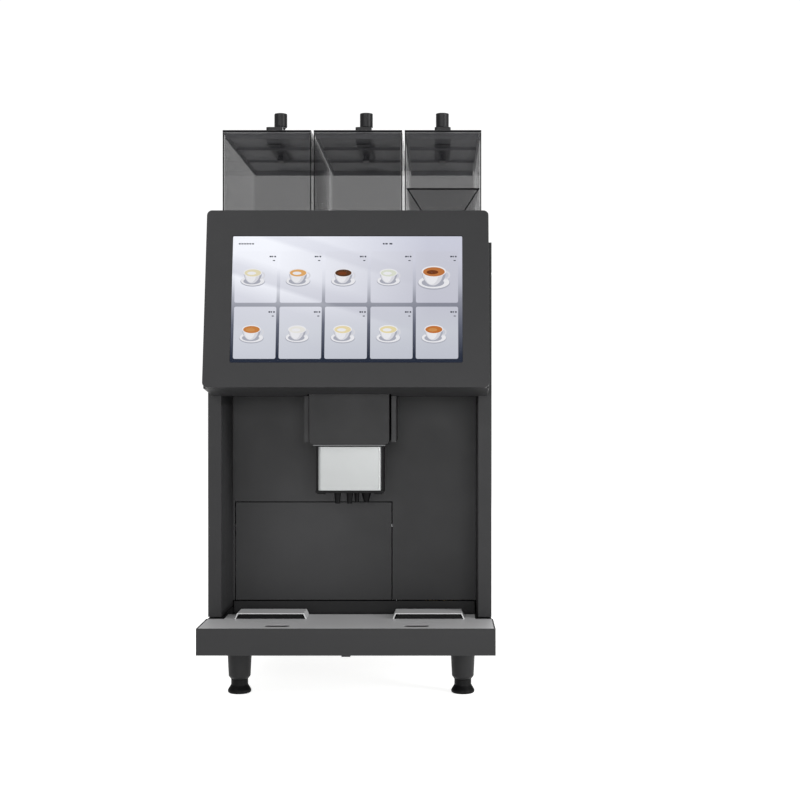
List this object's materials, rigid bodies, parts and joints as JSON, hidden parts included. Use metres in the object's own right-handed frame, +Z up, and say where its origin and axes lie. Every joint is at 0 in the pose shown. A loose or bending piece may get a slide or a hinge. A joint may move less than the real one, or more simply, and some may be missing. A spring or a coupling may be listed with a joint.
{
  "type": "hot coffee vending machine",
  "caption": "Table-top bean-to-cup hot drinks machine with a leaning touch screen, an adjustable spout, a drip tray and smoked hoppers on top.",
  "frame": {"origin": "middle of the footprint, on the surface that the feet stand on", "axes": "+Z up, front faces -Y, +X to the viewer's right when facing the front"},
  "size_m": [0.4, 0.5, 0.861],
  "materials": {
    "steel_charcoal": "fine matt powder coat",
    "frame_black": "matt powder coat",
    "inner_steel": "mill finish",
    "head_plastic": "fine moulded grain",
    "recess_plastic": "fine moulded grain",
    "black_plastic": "fine moulded grain",
    "knob_plastic": "satin",
    "foot_rubber": "matt",
    "smoked_clear": "clear smoked",
    "screen_glass": "polished",
    "screen_picture": "lit picture",
    "silver_cover": "silver lacquer",
    "plate_steel": "satin",
    "bright_metal": "polished",
    "brass_metal": "machined",
    "white_plastic": "food-grade moulded",
    "motor_metal": "satin",
    "board_green": "solder mask"
  },
  "bodies": {
    "cabinet": {"base_frame": "frame_black", "leg_sleeves": "frame_black", "side_panel_left": "steel_charcoal", "side_panel_right": "steel_charcoal", "back_panel": "steel_charcoal", "top_deck": "frame_black", "inner_frame": "inner_steel", "mains_inlet": "black_plastic", "water_inlet": "brass_metal", "fan_frame": "black_plastic", "boiler": "inner_steel", "water_pump": "brass_metal", "brew_frame": "motor_metal", "grinder_left": "motor_metal", "grinder_right": "motor_metal", "power_supply": "inner_steel", "control_board": "board_green", "mixer_bowl": "white_plastic", "hinge_pins": "bright_metal", "panel_screws": "bright_metal"},
    "door": {"door_frame": "steel_charcoal", "recess_panel": "recess_plastic", "head_shell": "head_plastic", "screen_bezel": "head_plastic", "display_glass": "screen_glass", "lcd_panel": "screen_picture", "spout_guide": "recess_plastic"},
    "door_lock": {"door_lock": "bright_metal"},
    "spout": {"spout_carriage": "head_plastic", "spout_cover": "silver_cover", "spout_head": "black_plastic", "coffee_nozzles": "knob_plastic", "milk_nozzles": "black_plastic"},
    "grounds_drawer": {"drawer_front": "recess_plastic", "grounds_bin": "black_plastic"},
    "drip_tray": {"drip_tray": "head_plastic"},
    "cup_plate": {"tray_plate": "plate_steel"},
    "hopper_left": {"hopper_left": "smoked_clear"},
    "hopper_middle": {"hopper_middle": "smoked_clear"},
    "hopper_powder": {"hopper_powder": "smoked_clear", "powder_trough": "smoked_clear"},
    "lid_left": {"lid_left": "smoked_clear", "lock_bar_left": "knob_plastic"},
    "lid_middle": {"lid_middle": "smoked_clear", "lock_bar_middle": "knob_plastic"},
    "lid_powder": {"lid_powder": "smoked_clear", "lock_bar_powder": "knob_plastic"},
    "knob_left": {"knob_left": "knob_plastic"},
    "knob_middle": {"knob_middle": "knob_plastic"},
    "knob_powder": {"knob_powder": "knob_plastic"},
    "powder_auger": {"powder_auger": "white_plastic"},
    "agitator_wheel": {"agitator_wheel": "white_plastic"},
    "power_switch": {"power_switch": "black_plastic"},
    "fan": {"fan_rotor": "black_plastic"},
    "brew_piston": {"brew_piston": "white_plastic"},
    "impeller": {"mixer_impeller": "white_plastic"},
    "foot_front_left": {"foot_front_left": "foot_rubber"},
    "foot_front_right": {"foot_front_right": "foot_rubber"},
    "foot_back_left": {"foot_back_left": "foot_rubber"},
    "foot_back_right": {"foot_back_right": "foot_rubber"}
  },
  "joints": [
    {"name": "door_hinge", "type": "hinge", "parent": "cabinet", "child": "door", "pos_m": [-0.194, -0.058, 0.4], "axis": [0, 0, 1], "range_deg": [-105, 0]},
    {"name": "door_lock_turn", "type": "hinge", "parent": "door", "child": "door_lock", "pos_m": [0.198, -0.111, 0.596], "axis": [1, 0, 0], "range_deg": [0, 90]},
    {"name": "spout_slide", "type": "slide", "parent": "door", "child": "spout", "axis": [0, 0, 1], "range_m": [-0.1, 0]},
    {"name": "drawer_slide", "type": "slide", "parent": "cabinet", "child": "grounds_drawer", "axis": [0, -1, 0], "range_m": [0, 0.18]},
    {"name": "tray_slide", "type": "slide", "parent": "cabinet", "child": "drip_tray", "axis": [0, -1, 0], "range_m": [0, 0.18]},
    {"name": "cup_plate_lift", "type": "slide", "parent": "drip_tray", "child": "cup_plate", "axis": [0, 0, 1], "range_m": [0, 0.04]},
    {"name": "hopper_left_lift", "type": "slide", "parent": "cabinet", "child": "hopper_left", "axis": [0, 0, 1], "range_m": [0, 0.06]},
    {"name": "lid_left_hinge", "type": "hinge", "parent": "hopper_left", "child": "lid_left", "pos_m": [-0.122, 0.218, 0.8], "axis": [-1, 0, 0], "range_deg": [0, 100]},
    {"name": "knob_left_turn", "type": "hinge", "parent": "lid_left", "child": "knob_left", "pos_m": [-0.1215, 0.056, 0.798], "axis": [0, 0, 1], "range_deg": [0, 90]},
    {"name": "hopper_middle_lift", "type": "slide", "parent": "cabinet", "child": "hopper_middle", "axis": [0, 0, 1], "range_m": [0, 0.06]},
    {"name": "lid_middle_hinge", "type": "hinge", "parent": "hopper_middle", "child": "lid_middle", "pos_m": [0.0085, 0.218, 0.8], "axis": [-1, 0, 0], "range_deg": [0, 100]},
    {"name": "knob_middle_turn", "type": "hinge", "parent": "lid_middle", "child": "knob_middle", "pos_m": [0.012, 0.056, 0.798], "axis": [0, 0, 1], "range_deg": [0, 90]},
    {"name": "hopper_powder_lift", "type": "slide", "parent": "cabinet", "child": "hopper_powder", "axis": [0, 0, 1], "range_m": [0, 0.06]},
    {"name": "lid_powder_hinge", "type": "hinge", "parent": "hopper_powder", "child": "lid_powder", "pos_m": [0.1305, 0.218, 0.8], "axis": [-1, 0, 0], "range_deg": [0, 100]},
    {"name": "knob_powder_turn", "type": "hinge", "parent": "lid_powder", "child": "knob_powder", "pos_m": [0.1305, 0.056, 0.798], "axis": [0, 0, 1], "range_deg": [0, 90]},
    {"name": "auger_spin", "type": "hinge", "parent": "hopper_powder", "child": "powder_auger", "pos_m": [0.1305, 0, 0.6563], "axis": [0, 1, 0], "continuous": true},
    {"name": "agitator_spin", "type": "hinge", "parent": "hopper_powder", "child": "agitator_wheel", "pos_m": [0.1305, 0.015, 0.6813], "axis": [1, 0, 0], "continuous": true},
    {"name": "switch_rock", "type": "hinge", "parent": "cabinet", "child": "power_switch", "pos_m": [0.1295, 0.239, 0.176], "axis": [1, 0, 0], "range_deg": [0, 14]},
    {"name": "fan_spin", "type": "hinge", "parent": "cabinet", "child": "fan", "pos_m": [-0.128, 0.24, 0.472], "axis": [0, 1, 0], "continuous": true},
    {"name": "piston_slide", "type": "slide", "parent": "cabinet", "child": "brew_piston", "axis": [0, 0, 1], "range_m": [0, 0.03]},
    {"name": "impeller_spin", "type": "hinge", "parent": "cabinet", "child": "impeller", "pos_m": [0.1305, -0.008, 0.473], "axis": [0, 1, 0], "continuous": true},
    {"name": "foot_front_left_turn", "type": "hinge", "parent": "cabinet", "child": "foot_front_left", "pos_m": [-0.1585, -0.132, 0], "axis": [0, 0, 1], "continuous": true},
    {"name": "foot_front_right_turn", "type": "hinge", "parent": "cabinet", "child": "foot_front_right", "pos_m": [0.1585, -0.132, 0], "axis": [0, 0, 1], "continuous": true},
    {"name": "foot_back_left_turn", "type": "hinge", "parent": "cabinet", "child": "foot_back_left", "pos_m": [-0.1585, 0.196, 0], "axis": [0, 0, 1], "continuous": true},
    {"name": "foot_back_right_turn", "type": "hinge", "parent": "cabinet", "child": "foot_back_right", "pos_m": [0.1585, 0.196, 0], "axis": [0, 0, 1], "continuous": true}
  ],
  "couplings": [
    {"joint": "agitator_spin", "follows": "auger_spin", "ratio": 0.083333}
  ]
}
